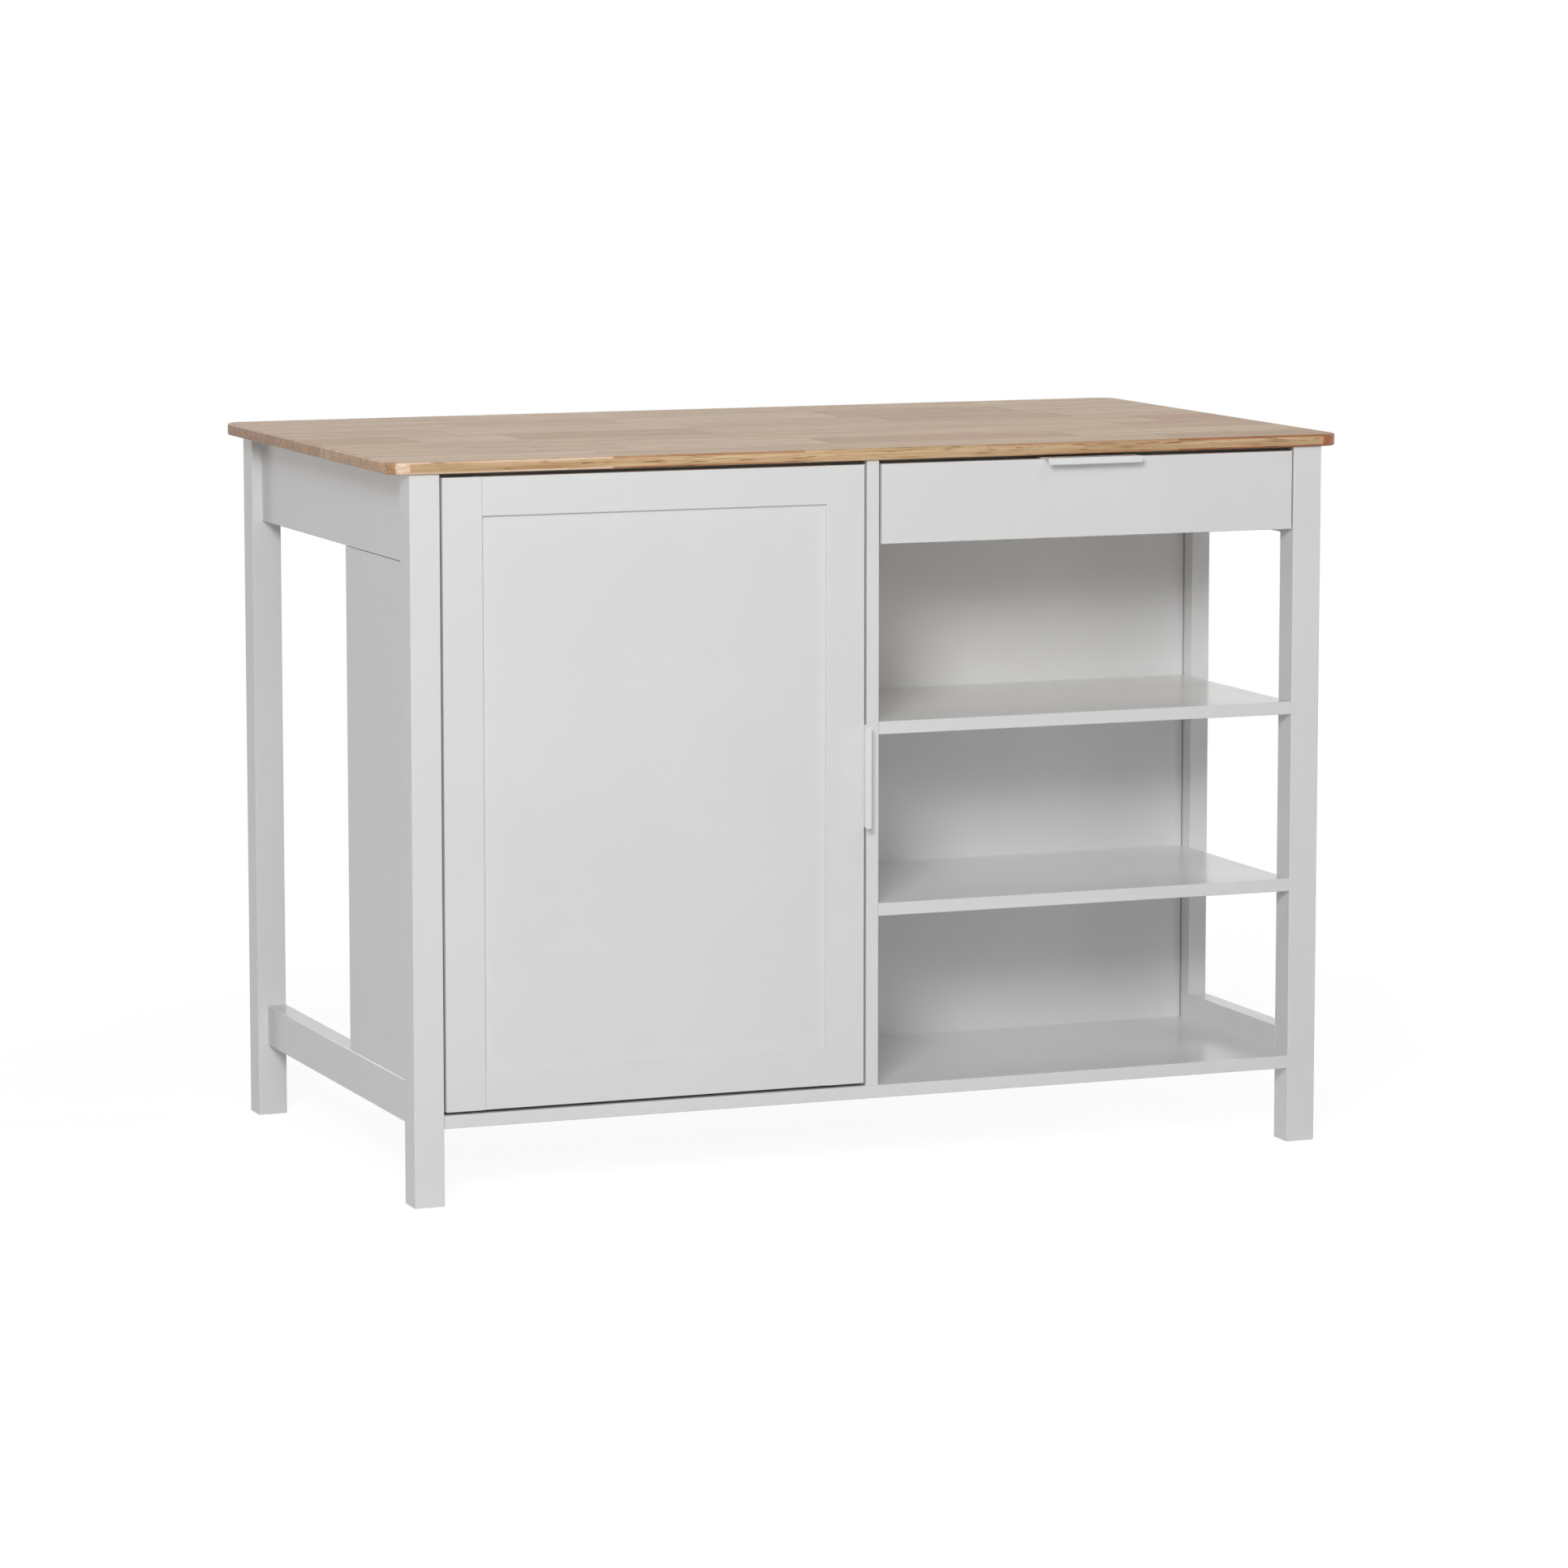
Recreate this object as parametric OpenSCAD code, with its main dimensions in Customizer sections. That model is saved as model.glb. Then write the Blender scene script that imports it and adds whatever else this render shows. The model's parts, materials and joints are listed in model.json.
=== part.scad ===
// Kitchen island unit: solid-wood worktop on a painted frame of four square legs.
// Millimetres. +Z is up, -Y is the front with the door and the drawer, +X is to the right.
// The origin is on the floor, under the middle of the worktop.

/* [Overall] */
// Height from the floor to the top of the worktop
unit_height = 900; // [860:5:960]
// Length of the worktop
top_length = 1250; // [1100:10:1500]
// Depth of the worktop, front to back
top_depth = 700; // [640:10:850]
// Thickness of the worktop
top_t = 15; // [15:0.5:30]
// How far the worktop stands out past the legs at its ends
end_overhang = 25; // [10:1:50]
// How far the worktop stands out past the legs at the front and the back
front_overhang = 5; // [2:1:40]
// Radius of the worktop's corners in plan
top_corner_r = 25; // [12:1:50]
// Radius of the rounded top and bottom edges of the worktop
top_edge_r = 2.5; // [1:0.5:5]

/* [Frame] */
// Width and depth of a square leg
leg_w = 38; // [34:1:60]
// Radius of the eased edges of legs and rails
edge_r = 1.5; // [0.5:0.25:3]
// Thickness of the aprons and stretchers
rail_t = 25; // [20:1:30]
// Height of the aprons under the worktop
apron_h = 110; // [100:1:130]
// Height of the side stretchers
stretcher_h = 52; // [40:1:70]
// Height of the stretchers' lower edge above the floor
stretcher_z = 93; // [70:1:110]
// Width of the flat rail behind the door and drawer tops
top_rail_w = 60; // [40:1:80]
// Diameter of the wooden dowels
dowel_d = 8; // [6:1:10]
// Length of the wooden dowels
dowel_l = 30; // [24:1:30]
// Diameter of the nylon glides under the legs
glide_d = 24; // [18:1:30]
// Thickness of the glides
glide_t = 1.5; // [1:0.5:4]

/* [Cabinet] */
// Depth from the front face to the back panel
cabinet_d = 319; // [280:1:340]
// Thickness of the divider, the bottom and the shelves
board_t = 16; // [15:0.5:19]
// Thickness of the solid side panel
side_t = 23; // [20:1:24]
// Thickness of the back panel
back_t = 12; // [6:1:16]
// How far the side panel's rear edge stops short of the back panel
side_short = 17; // [0:1:20]
// Gap between the side panel and the apron above it
side_top_gap = 1; // [0:0.5:3]
// Gap at the ends of the back panel
back_gap = 1.5; // [0:0.5:3]
// Height of the bottom shelf's lower face above the stretchers' lower edge
bottom_lift = 3; // [0:1:12]
// Middle of the divider, left or right of the unit's middle
divider_x = -7; // [-60:1:60]
// How far the open side's rear post stands in front of the back panel
post_reveal = 24; // [16:1:30]
// Width of the upright batten in the cupboard's rear corner
batten_w = 50; // [40:1:60]
// Radius of the eased edges of boards
board_r = 1; // [0.5:0.25:2]

/* [Shelves] */
// Height of the lower open shelf's under side
shelf_low_z = 323; // [280:1:360]
// Height of the upper open shelf's under side
shelf_high_z = 548; // [500:1:600]
// Height of the loose shelf's under side in the cupboard
loose_shelf_z = 490; // [420:1:520]
// Distance from the front face to the loose shelf
loose_shelf_back = 36; // [30:1:60]
// Diameter of the shelf pins
pin_d = 5; // [4:0.5:6]
// Spacing of the holes for the shelf pins
pin_pitch = 32; // [25:1:40]
// Holes above and below the pins in use
pin_rows = 2; // [1:1:3]

/* [Door] */
// Thickness of the door frame and the drawer front
front_t = 18; // [17:0.5:20]
// Width of the door's stiles
stile_w = 50; // [46:1:70]
// Height of the door's rails
door_rail_h = 47; // [40:1:70]
// Thickness of the door's panel
door_panel_t = 8; // [6:0.5:9]
// Depth of the grooves that hold the panel
groove_d = 8; // [6:1:9]
// Gap at the sides of the door and the drawer front
side_gap = 3; // [2.8:0.1:4]
// Gap above the door and the drawer front
top_gap = 5; // [4:0.5:7]
// Gap under the door
bottom_gap = 4; // [3:0.5:6]

/* [Hinges] */
// Distance from the door's end to the middle of a hinge
hinge_inset = 85; // [70:1:90]
// Diameter of the hinge cup
cup_d = 35; // [32:1:35]
// Depth of the hinge cup
cup_h = 13; // [12:0.5:13]
// Distance from the door's edge to the middle of the cup
cup_x = 22.5; // [22:0.5:24]
// Thickness of the cup's wall
cup_wall = 1; // [0.8:0.1:1.5]
// Distance from the door's edge to the hinge pin
pivot_x = 15; // [14:0.5:17]
// Distance from the door's face to the hinge pin
pivot_y = 9; // [9:0.5:10]
// Diameter of the hinge pin
hinge_pin_d = 2.5; // [2:0.1:3]
// Thickness of the hinge arm's steel
arm_t = 2.4; // [2:0.1:2.6]
// Height of the hinge arm
arm_h = 12; // [8:1:14]

/* [Drawer] */
// Height of the drawer front
drawer_front_h = 98; // [90:1:110]
// Height of the drawer's sides
drawer_side_h = 62; // [50:1:70]
// Thickness of the drawer's sides
drawer_side_t = 12; // [10:1:16]
// Thickness of the drawer's bottom
drawer_bottom_t = 5; // [3:0.5:6]
// Distance from the drawer box's base to the lower edge of the drawer front
box_lift = 14; // [12:1:20]
// Space between the drawer box and the back panel
drawer_rear_gap = 21; // [12:1:60]

/* [Runners] */
// Total thickness of a runner
runner_t = 12.7; // [12.7:0.1:14]
// Height of a runner
runner_h = 45; // [35:1:45]
// Thickness of the runners' sheet steel
sheet_t = 1.2; // [1:0.1:1.4]

/* [Handles] */
// Length of the edge pulls
pull_l = 126; // [100:1:160]
// Thickness of the pulls' sheet
pull_t = 1.8; // [1.2:0.1:2]
// How far the pulls stand out in front
pull_out = 19; // [14:1:25]
// Depth of the lip at the front of the pulls
pull_lip = 8; // [5:1:12]
// Radius of the lip's corners
pull_corner_r = 3; // [1:0.5:4]
// Length of the pulls' leg behind the door or drawer front
pull_back = 16; // [12:1:20]

/* [Hidden] */
$fn = 48;

// Clearances
bore_gap = 0.1;
groove_gap = 0.1;
end_gap = 1;
tongue_gap = 0.5;
notch_gap = 2;
moving_gap = 0.4;
pin_gap = 0.05;
rail_clear = 2;
eps = 0.5;

// Outline of the frame
half_x = top_length / 2 - end_overhang;
half_y = top_depth / 2 - front_overhang;
frame_top = unit_height - top_t;
rail_out = half_x - (leg_w - rail_t);
rail_in = half_x - leg_w;
back_rail_out = half_y - (leg_w - rail_t);
rail_y = half_y - leg_w;
apron_z = frame_top - apron_h;
stretcher_top = stretcher_z + stretcher_h;

// Cabinet
front_y = -half_y;
back_y = front_y + cabinet_d;
bottom_z = stretcher_z + bottom_lift;
floor_z = bottom_z + board_t;
side_out = rail_in + side_t;
side_rear = back_y - side_short;
div_l = divider_x - board_t / 2;
div_r = divider_x + board_t / 2;
top_rail_z = frame_top - board_t;
door_swing = sqrt(pow(pivot_x, 2) + pow(front_t - pivot_y, 2));
top_rail_y = front_y + pivot_y + door_swing + rail_clear;
post_y = back_y - post_reveal;
batten_t = 25;
batten_y = back_y - batten_w;

// Door
door_l = -rail_in + side_gap;
door_r = div_l - side_gap;
door_z = floor_z + bottom_gap;
front_top = frame_top - top_gap;
fronts_back = front_y + front_t;
door_hinges = [door_z + hinge_inset, front_top - hinge_inset];
panel_y = front_y + (front_t - door_panel_t) / 2;

// Hinge arm: it leaves the cup, turns round the door's edge and lies along the side panel.
// Its places are measured from the door's edge and face.
hook_reach = 15;
hook_clear = 10;
hook_x = pivot_x + hook_reach;
hook_y = front_t + hook_clear;
eye_wall = 1.1;
arm_x = 2.8;
plate_back = 18;
plate_y = hook_y + plate_back;
plate_l = 30;
clamp_y = plate_y + plate_l * 0.7;
clamp_d = 4;
plate_t = 2;
cup_flange = 2;
wing_z = 24;
wing_w = 12;
wing_t = 1.2;
plate_screw_z = 13;

// Drawer
drawer_z = front_top - drawer_front_h;
drawer_fl = div_r + side_gap;
drawer_fr = rail_in - side_gap;
box_l = div_r + runner_t;
box_r = rail_in - runner_t;
box_z = drawer_z + box_lift;
box_top = box_z + drawer_side_h;
box_rear = back_y - drawer_rear_gap;
box_drop = 6;
bottom_groove_lift = 9;
bottom_groove_z = box_z + bottom_groove_lift;
bottom_groove_d = 6;
drawer_middle = (drawer_fl + drawer_fr) / 2;

// Runners, as heights of the three nested channels and their places across the thickness
runner_z = box_z + drawer_side_h / 2;
channel_gap = 2.8;
mid_h = runner_h - 2 * (sheet_t + channel_gap);
inner_h = mid_h - 2 * (sheet_t + channel_gap);
outer_reach = 9.6;
mid_from = 3;
mid_reach = 8;
inner_reach = 6.6;
runner_front = fronts_back + end_gap;
runner_rear = box_rear - end_gap;
runner_screw_inset = [34, 50];
runner_screws = [runner_front + runner_screw_inset[0], runner_rear - runner_screw_inset[1]];

// Screws: diameter, length, head diameter, head thickness
small_screw = [3.5, 12, 7, 1.4];
long_screw = [4, 26, 8, 2];
front_screw = [4, 24, 8, 2];
pull_screw = [3.5, 10, 7, 1.4];
bracket_screw = [3, 10, 6, 1.4];
runner_screw = [3.5, 9, 7, 1.4];
clamp_screw = [clamp_d, arm_x + arm_t - 0.3, 7, 1.6];
slot_w = 1;

// The pin on a glide: diameter, length
glide_pin = [3, 12];

// Worktop brackets
bracket_w = 18;
bracket_l = 22;
bracket_t = 2;
bracket_front = 125;
bracket_rear = 190;

// Insets of dowels, screws and shelf pins
dowel_in = 9;
bottom_dowels = [50, 60];
divider_dowels = [100, 120];
back_screw_inset = 60;
back_screw_rows = 5;
pin_front = 60;
pin_rear = 26;
pin_l = 16;
pin_bore = 9;

// Magnetic catch
catch_w = 40;
catch_edge = 22;
catch_h = 14;
catch_d = 16;
strike_t = 1.2;
strike_inset = 4;
strike_r = 2;

// ---------- Shapes shared by the pieces ----------

// A rectangle with eased corners, its lower left corner at the origin
module eased_rect(w, h, r) {
    translate([r, 0]) square([w - 2 * r, h]);
    translate([0, r]) square([w, h - 2 * r]);
    for (x = [r, w - r], y = [r, h - r]) translate([x, y]) circle(r);
}

module block(a, b) {
    translate(a) cube(b - a);
}

// Bars between two opposite corners, with eased edges along one axis
module bar_x(a, b, r) {
    translate(a) rotate([90, 0, 90]) linear_extrude(b.x - a.x) eased_rect(b.y - a.y, b.z - a.z, r);
}

module bar_y(a, b, r) {
    translate([a.x, b.y, a.z]) rotate([90, 0, 0])
        linear_extrude(b.y - a.y) eased_rect(b.x - a.x, b.z - a.z, r);
}

module bar_z(a, b, r) {
    translate(a) linear_extrude(b.z - a.z) eased_rect(b.x - a.x, b.y - a.y, r);
}

// Turns +Z to the given axis name
module along(axis) {
    rotate(axis == "x" ? [0, 90, 0] : axis == "-x" ? [0, -90, 0]
         : axis == "y" ? [-90, 0, 0] : axis == "-y" ? [90, 0, 0]
         : axis == "-z" ? [180, 0, 0] : [0, 0, 0]) children();
}

// A pan-head screw whose head rests on the origin and whose shank points along +Z
module screw(s) {
    translate([0, 0, -s[3] * 0.2]) cylinder(h = s[1] + s[3] * 0.2, d = s[0]);
    difference() {
        translate([0, 0, -s[3]]) cylinder(h = s[3], d = s[2]);
        for (a = [0, 90]) rotate(a)
            translate([-s[2] * 0.3, -slot_w / 2, -s[3] * 1.5]) cube([s[2] * 0.6, slot_w, s[3] * 1.1]);
    }
}

module screw_bore(s) {
    translate([0, 0, -eps]) cylinder(h = s[1] + end_gap + eps, d = s[0] + 2 * bore_gap);
}

// ---------- Where the fasteners go ----------

// Dowels: centre and axis. Those in the divider reach dowel_in into a board.
function rail_dowels(z0, h) = [
    for (sx = [-1, 1], sy = [-1, 1], f = [0.3, 0.7])
        [[sx * (rail_in + rail_t / 2), sy * rail_y, z0 + h * f], "y"]
];
bottom_dowel_ys = [front_y + leg_w / 3, front_y + leg_w + bottom_dowels[0], back_y - bottom_dowels[1]];
divider_dowel_ys = [front_y + divider_dowels[0], back_y - divider_dowels[1]];
function shelf_dowels(z) = [
    [[rail_in, front_y + leg_w / 2, z + board_t / 2], "x"],
    [[rail_in, post_y + post_reveal / 2, z + board_t / 2], "x"],
    for (y = divider_dowel_ys) [[div_r + dowel_l / 2 - dowel_in, y, z + board_t / 2], "x"]
];
dowels = concat(
    rail_dowels(apron_z, apron_h),
    rail_dowels(stretcher_z, stretcher_h),
    [for (sx = [-1, 1], f = [0.3, 0.7])
        [[sx * rail_in, back_rail_out - rail_t / 2, apron_z + apron_h * f], "x"]],
    [for (sx = [-1, 1], y = bottom_dowel_ys) [[sx * rail_in, y, bottom_z + board_t / 2], "x"]],
    [for (sx = [-1, 1], f = [0.35, 0.75])
        [[sx * rail_in, top_rail_y + top_rail_w * f, top_rail_z + board_t / 2], "x"]],
    [for (y = divider_dowel_ys) [[divider_x, y, floor_z + dowel_l / 2 - dowel_in], "z"]],
    shelf_dowels(shelf_low_z),
    shelf_dowels(shelf_high_z)
);

module place_dowels() {
    for (d = dowels) translate(d[0]) along(d[1]) children();
}

module dowel_bores() {
    place_dowels() cylinder(h = dowel_l + 2 * end_gap, d = dowel_d + 2 * bore_gap, center = true);
}

// Worktop brackets: a corner on a rail's inner face, turned so that +X points into the unit
bracket_places = concat(
    [for (sx = [-1, 1], y = [front_y + bracket_front, half_y - bracket_rear])
        [[sx * rail_in, y], sx > 0 ? 180 : 0]],
    [for (sx = [-1, 1]) [[sx * rail_in / 2, back_rail_out - rail_t], -90]]
);

module place_brackets() {
    for (b = bracket_places) translate([b[0].x, b[0].y, frame_top]) rotate(b[1]) children();
}

module place_bracket_screws() {
    place_brackets() {
        translate([bracket_l * 0.6, 0, -bracket_t]) children();
        translate([bracket_t, 0, -bracket_l * 0.6]) along("-x") children();
    }
}

// Screws through the front top rail into the worktop
module place_rail_screws() {
    for (f = [0.25, 0.75], x = [-rail_in + (div_l + rail_in) * f, div_r + (rail_in - div_r) * f])
        translate([x, top_rail_y + top_rail_w / 2, top_rail_z]) children();
}

module bracket_bores() {
    place_bracket_screws() screw_bore(bracket_screw);
}

// Screws through the back panel, from behind
back_screws = concat(
    [for (k = [0 : back_screw_rows - 1], x = [-rail_in + batten_t / 2, divider_x])
        [x, floor_z + back_screw_inset
            + k * (frame_top - floor_z - 2 * back_screw_inset) / (back_screw_rows - 1)]],
    [for (z = [shelf_low_z, shelf_high_z], f = [0.3, 0.7])
        [div_r + (rail_in - div_r) * f, z + board_t / 2]]
);

module place_back_screws() {
    for (s = back_screws) translate([s.x, back_y + back_t, s.y]) along("-y") children();
}

// Shelf pins and their rows of holes
pin_ys = [front_y + pin_front, batten_y - pin_rear];
module place_pins(z) {
    for (y = pin_ys) {
        translate([-rail_in, y, z - pin_d / 2]) along("x") children();
        translate([div_l, y, z - pin_d / 2]) along("-x") children();
    }
}

module pin_bores() {
    for (k = [-pin_rows : pin_rows])
        place_pins(loose_shelf_z + k * pin_pitch)
            translate([0, 0, -pin_bore]) cylinder(h = pin_bore + eps, d = pin_d + 2 * bore_gap);
}

// Hinges: the origin is the door's edge and face at the hinge's height
module place_hinges() {
    for (z = door_hinges) translate([door_l, front_y, z]) children();
}

module place_cup_screws() {
    place_hinges() for (s = [-1, 1])
        translate([cup_x, front_t + wing_t, s * wing_z]) along("-y") children();
}

module place_plate_screws() {
    place_hinges() for (s = [-1, 1])
        translate([plate_t - side_gap, plate_y + plate_l / 2, s * plate_screw_z])
            along("-x") children();
}

// Runners: origin on the carrying face at the runner's middle height, +X across the thickness
module place_left_runner() {
    translate([div_r, 0, runner_z]) children();
}

module place_right_runner() {
    translate([rail_in, 0, runner_z]) mirror([1, 0, 0]) children();
}

module place_runner_screws(x, axis) {
    for (y = runner_screws) {
        place_left_runner() translate([x, y, 0]) along(axis) children();
        place_right_runner() translate([x, y, 0]) along(axis) children();
    }
}

// Pull screws: from behind, through the pull's leg into the wood
pull_screw_at = pull_l * 0.38;
module place_door_pull() {
    translate([door_r, front_y, (door_z + front_top) / 2]) children();
}

module place_drawer_pull() {
    translate([drawer_middle, front_y, front_top]) rotate([0, -90, 0]) children();
}

module place_pull_screws() {
    for (s = [-1, 1])
        translate([-pull_back * 0.6, front_t + pull_t, s * pull_screw_at]) along("-y") children();
}

// Screws that hold the drawer front, from inside the drawer
module place_front_screws() {
    for (sx = [-1, 1], f = [0.35, 0.75])
        translate([drawer_middle + sx * (box_r - box_l) * 0.36,
                   fronts_back + drawer_side_t, box_z + drawer_side_h * f])
            along("-y") children();
}

// ---------- Worktop and frame ----------

// The worktop's section, a board with rounded edges
module top_section(w) {
    translate([-w / 2 + top_edge_r, 0]) square([w - 2 * top_edge_r, top_t]);
    translate([-w / 2, top_edge_r]) square([w, top_t - 2 * top_edge_r]);
    for (x = [-1, 1], z = [top_edge_r, top_t - top_edge_r])
        translate([x * (w / 2 - top_edge_r), z]) circle(top_edge_r);
}

module worktop() {
    long = top_length - 2 * top_corner_r;
    deep = top_depth - 2 * top_corner_r;
    color("burlywood") difference() {
        translate([0, 0, frame_top]) {
            translate([-long / 2, 0, 0]) rotate([90, 0, 90]) linear_extrude(long) top_section(top_depth);
            translate([0, deep / 2, 0]) rotate([90, 0, 0]) linear_extrude(deep) top_section(top_length);
            for (x = [-1, 1], y = [-1, 1]) translate([x * long / 2, y * deep / 2, 0])
                rotate_extrude($fn = 64) intersection() {
                    top_section(2 * top_corner_r);
                    square([top_corner_r, top_t]);
                }
        }
        bracket_bores();
        place_rail_screws() screw_bore(long_screw);
    }
}

module leg(sx, sy) {
    x0 = sx > 0 ? rail_in : -half_x;
    y0 = sy > 0 ? rail_y : -half_y;
    color("gainsboro") difference() {
        bar_z([x0, y0, glide_t], [x0 + leg_w, y0 + leg_w, frame_top], edge_r);
        dowel_bores();
        translate([x0 + leg_w / 2, y0 + leg_w / 2, 0])
            cylinder(h = glide_t + glide_pin[1] + end_gap, d = glide_pin[0] + 2 * bore_gap);
    }
}

module leg_front_left() { leg(-1, -1); }
module leg_front_right() { leg(1, -1); }
module leg_back_left() { leg(-1, 1); }
module leg_back_right() { leg(1, 1); }

module side_rail(sx, z0, z1) {
    x0 = sx > 0 ? rail_in : -rail_out;
    color("gainsboro") difference() {
        bar_y([x0, -rail_y, z0], [x0 + rail_t, rail_y, z1], edge_r);
        dowel_bores();
        bracket_bores();
        place_runner_screws(sheet_t, "-x") screw_bore(small_screw);
        place_plate_screws() screw_bore(small_screw);
    }
}

module apron_left() { side_rail(-1, apron_z, frame_top); }
module apron_right() { side_rail(1, apron_z, frame_top); }
module stretcher_left() { side_rail(-1, stretcher_z, stretcher_top); }
module stretcher_right() { side_rail(1, stretcher_z, stretcher_top); }

module apron_back() {
    color("gainsboro") difference() {
        bar_x([-rail_in, back_rail_out - rail_t, apron_z], [rail_in, back_rail_out, frame_top], edge_r);
        dowel_bores();
        bracket_bores();
    }
}

module front_top_rail() {
    color("gainsboro") difference() {
        bar_x([-rail_in, top_rail_y, top_rail_z], [rail_in, top_rail_y + top_rail_w, frame_top], board_r);
        dowel_bores();
        place_rail_screws() screw_bore(long_screw);
    }
}

module frame_dowels() {
    color("tan") place_dowels() cylinder(h = dowel_l, d = dowel_d, center = true);
}

module leg_glides() {
    color("dimgray") for (sx = [-1, 1], sy = [-1, 1])
        translate([sx * (half_x - leg_w / 2), sy * (half_y - leg_w / 2), 0]) {
            cylinder(h = glide_t, d = glide_d);
            cylinder(h = glide_t + glide_pin[1], d = glide_pin[0]);
        }
}

module worktop_brackets() {
    color("silver") difference() {
        place_brackets() {
            translate([0, -bracket_w / 2, -bracket_t]) cube([bracket_l, bracket_w, bracket_t]);
            translate([0, -bracket_w / 2, -bracket_l]) cube([bracket_t, bracket_w, bracket_l]);
        }
        bracket_bores();
    }
}

module worktop_screws() {
    color("silver") {
        place_bracket_screws() screw(bracket_screw);
        place_rail_screws() screw(long_screw);
    }
}

// ---------- Cabinet ----------

module bottom_shelf() {
    color("gainsboro") difference() {
        bar_x([-rail_in, front_y, bottom_z], [rail_in, back_y + back_t, floor_z], board_r);
        dowel_bores();
    }
}

module side_panel_left() {
    color("gainsboro") difference() {
        bar_z([-side_out, -rail_y, stretcher_top], [-rail_in, side_rear, apron_z - side_top_gap], board_r);
        pin_bores();
        place_plate_screws() screw_bore(small_screw);
    }
}

module divider_panel() {
    color("gainsboro") difference() {
        bar_z([div_l, front_y, floor_z], [div_r, back_y, frame_top], board_r);
        block([div_l - eps, top_rail_y - groove_gap, top_rail_z - groove_gap],
              [div_r + eps, top_rail_y + top_rail_w + groove_gap, frame_top + eps]);
        dowel_bores();
        pin_bores();
        place_runner_screws(sheet_t, "-x") screw_bore(small_screw);
        place_back_screws() screw_bore(long_screw);
    }
}

module back_panel() {
    color("lightgray") difference() {
        block([back_gap - rail_in, back_y, floor_z], [rail_in - back_gap, back_y + back_t, frame_top]);
        place_back_screws() screw_bore(long_screw);
    }
}

module rear_post_right() {
    color("gainsboro") difference() {
        bar_z([rail_in, post_y, stretcher_top], [rail_out, back_y + back_t, apron_z], edge_r);
        dowel_bores();
    }
}

module corner_batten() {
    color("gainsboro") difference() {
        bar_z([-rail_in, batten_y, floor_z], [-rail_in + batten_t, back_y, frame_top], board_r);
        place_back_screws() screw_bore(long_screw);
    }
}

module open_shelf(z) {
    color("gainsboro") difference() {
        bar_x([div_r, front_y, z], [rail_in, back_y, z + board_t], board_r);
        dowel_bores();
        place_back_screws() screw_bore(long_screw);
    }
}

module shelf_upper() { open_shelf(shelf_high_z); }
module shelf_lower() { open_shelf(shelf_low_z); }

module cupboard_shelf() {
    color("gainsboro") difference() {
        bar_x([-rail_in + end_gap, front_y + loose_shelf_back, loose_shelf_z],
              [div_l - end_gap, back_y - end_gap, loose_shelf_z + board_t], board_r);
        block([-rail_in, batten_y - notch_gap, loose_shelf_z - eps],
              [-rail_in + batten_t + notch_gap, back_y + eps, loose_shelf_z + board_t + eps]);
    }
}

module shelf_pins() {
    color("silver") place_pins(loose_shelf_z) translate([0, 0, -pin_l / 2]) cylinder(h = pin_l, d = pin_d);
}

module back_panel_screws() {
    color("silver") place_back_screws() screw(long_screw);
}

// ---------- Door ----------

// The panel's groove, as a block that the frame pieces lose
module door_groove(a, b) {
    block([a.x, panel_y - groove_gap, a.y], [b.x, panel_y + door_panel_t + groove_gap, b.y]);
}

module door_stile(x0) {
    bar_z([x0, front_y, door_z], [x0 + stile_w, fronts_back, front_top], board_r);
}

module door_stile_hinge() {
    color("gainsboro") difference() {
        door_stile(door_l);
        door_groove([door_l + stile_w - groove_d, door_z - eps], [door_l + stile_w + eps, front_top + eps]);
        place_hinges() translate([cup_x, front_t - cup_h, 0]) along("y")
            cylinder(h = cup_h + eps, d = cup_d + 2 * bore_gap);
        place_cup_screws() screw_bore(small_screw);
    }
}

module door_stile_handle() {
    color("gainsboro") difference() {
        door_stile(door_r - stile_w);
        door_groove([door_r - stile_w - eps, door_z - eps], [door_r - stile_w + groove_d, front_top + eps]);
        place_door_pull() place_pull_screws() screw_bore(pull_screw);
    }
}

// A rail has a tongue at each end that fills the stiles' grooves
module door_rail(z0, groove_z) {
    tongue = groove_d - tongue_gap;
    difference() {
        union() {
            bar_x([door_l + stile_w, front_y, z0], [door_r - stile_w, fronts_back, z0 + door_rail_h],
                  board_r);
            block([door_l + stile_w - tongue, panel_y, z0 + board_r],
                  [door_r - stile_w + tongue, panel_y + door_panel_t, z0 + door_rail_h - board_r]);
        }
        door_groove([door_l, groove_z], [door_r, groove_z + groove_d + eps]);
    }
}

module door_rail_top() {
    color("gainsboro") door_rail(front_top - door_rail_h, front_top - door_rail_h - eps);
}

module door_rail_bottom() {
    color("gainsboro") door_rail(door_z, door_z + door_rail_h - groove_d);
}

module door_panel() {
    reach = groove_d - end_gap;
    color("gainsboro")
        block([door_l + stile_w - reach, panel_y, door_z + door_rail_h - reach],
              [door_r - stile_w + reach, panel_y + door_panel_t, front_top - door_rail_h + reach]);
}

// An edge pull bent from one strip: a leg behind the wood, over its edge, out and a lip.
// It is drawn in plan with the wood's edge on the Y axis and its face at Y = 0.
module pull() {
    lip_edge = pull_t - pull_lip;
    difference() {
        linear_extrude(pull_l, center = true) {
            translate([-pull_back, front_t]) square([pull_back + pull_t / 2, pull_t]);
            translate([0, -pull_out]) square([pull_t, pull_out + front_t + pull_t / 2]);
            translate([lip_edge, -pull_out]) square([pull_lip - pull_t / 2, pull_t]);
            for (y = [front_t, -pull_out]) translate([pull_t / 2, y + pull_t / 2]) circle(d = pull_t);
        }
        for (s = [-1, 1]) translate([lip_edge, eps - pull_out + pull_t, s * pull_l / 2])
            rotate([90, 0, 0]) linear_extrude(pull_t + 2 * eps) difference() {
                square(2 * pull_corner_r, center = true);
                translate([pull_corner_r, -s * pull_corner_r]) circle(pull_corner_r);
            }
    }
}

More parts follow.
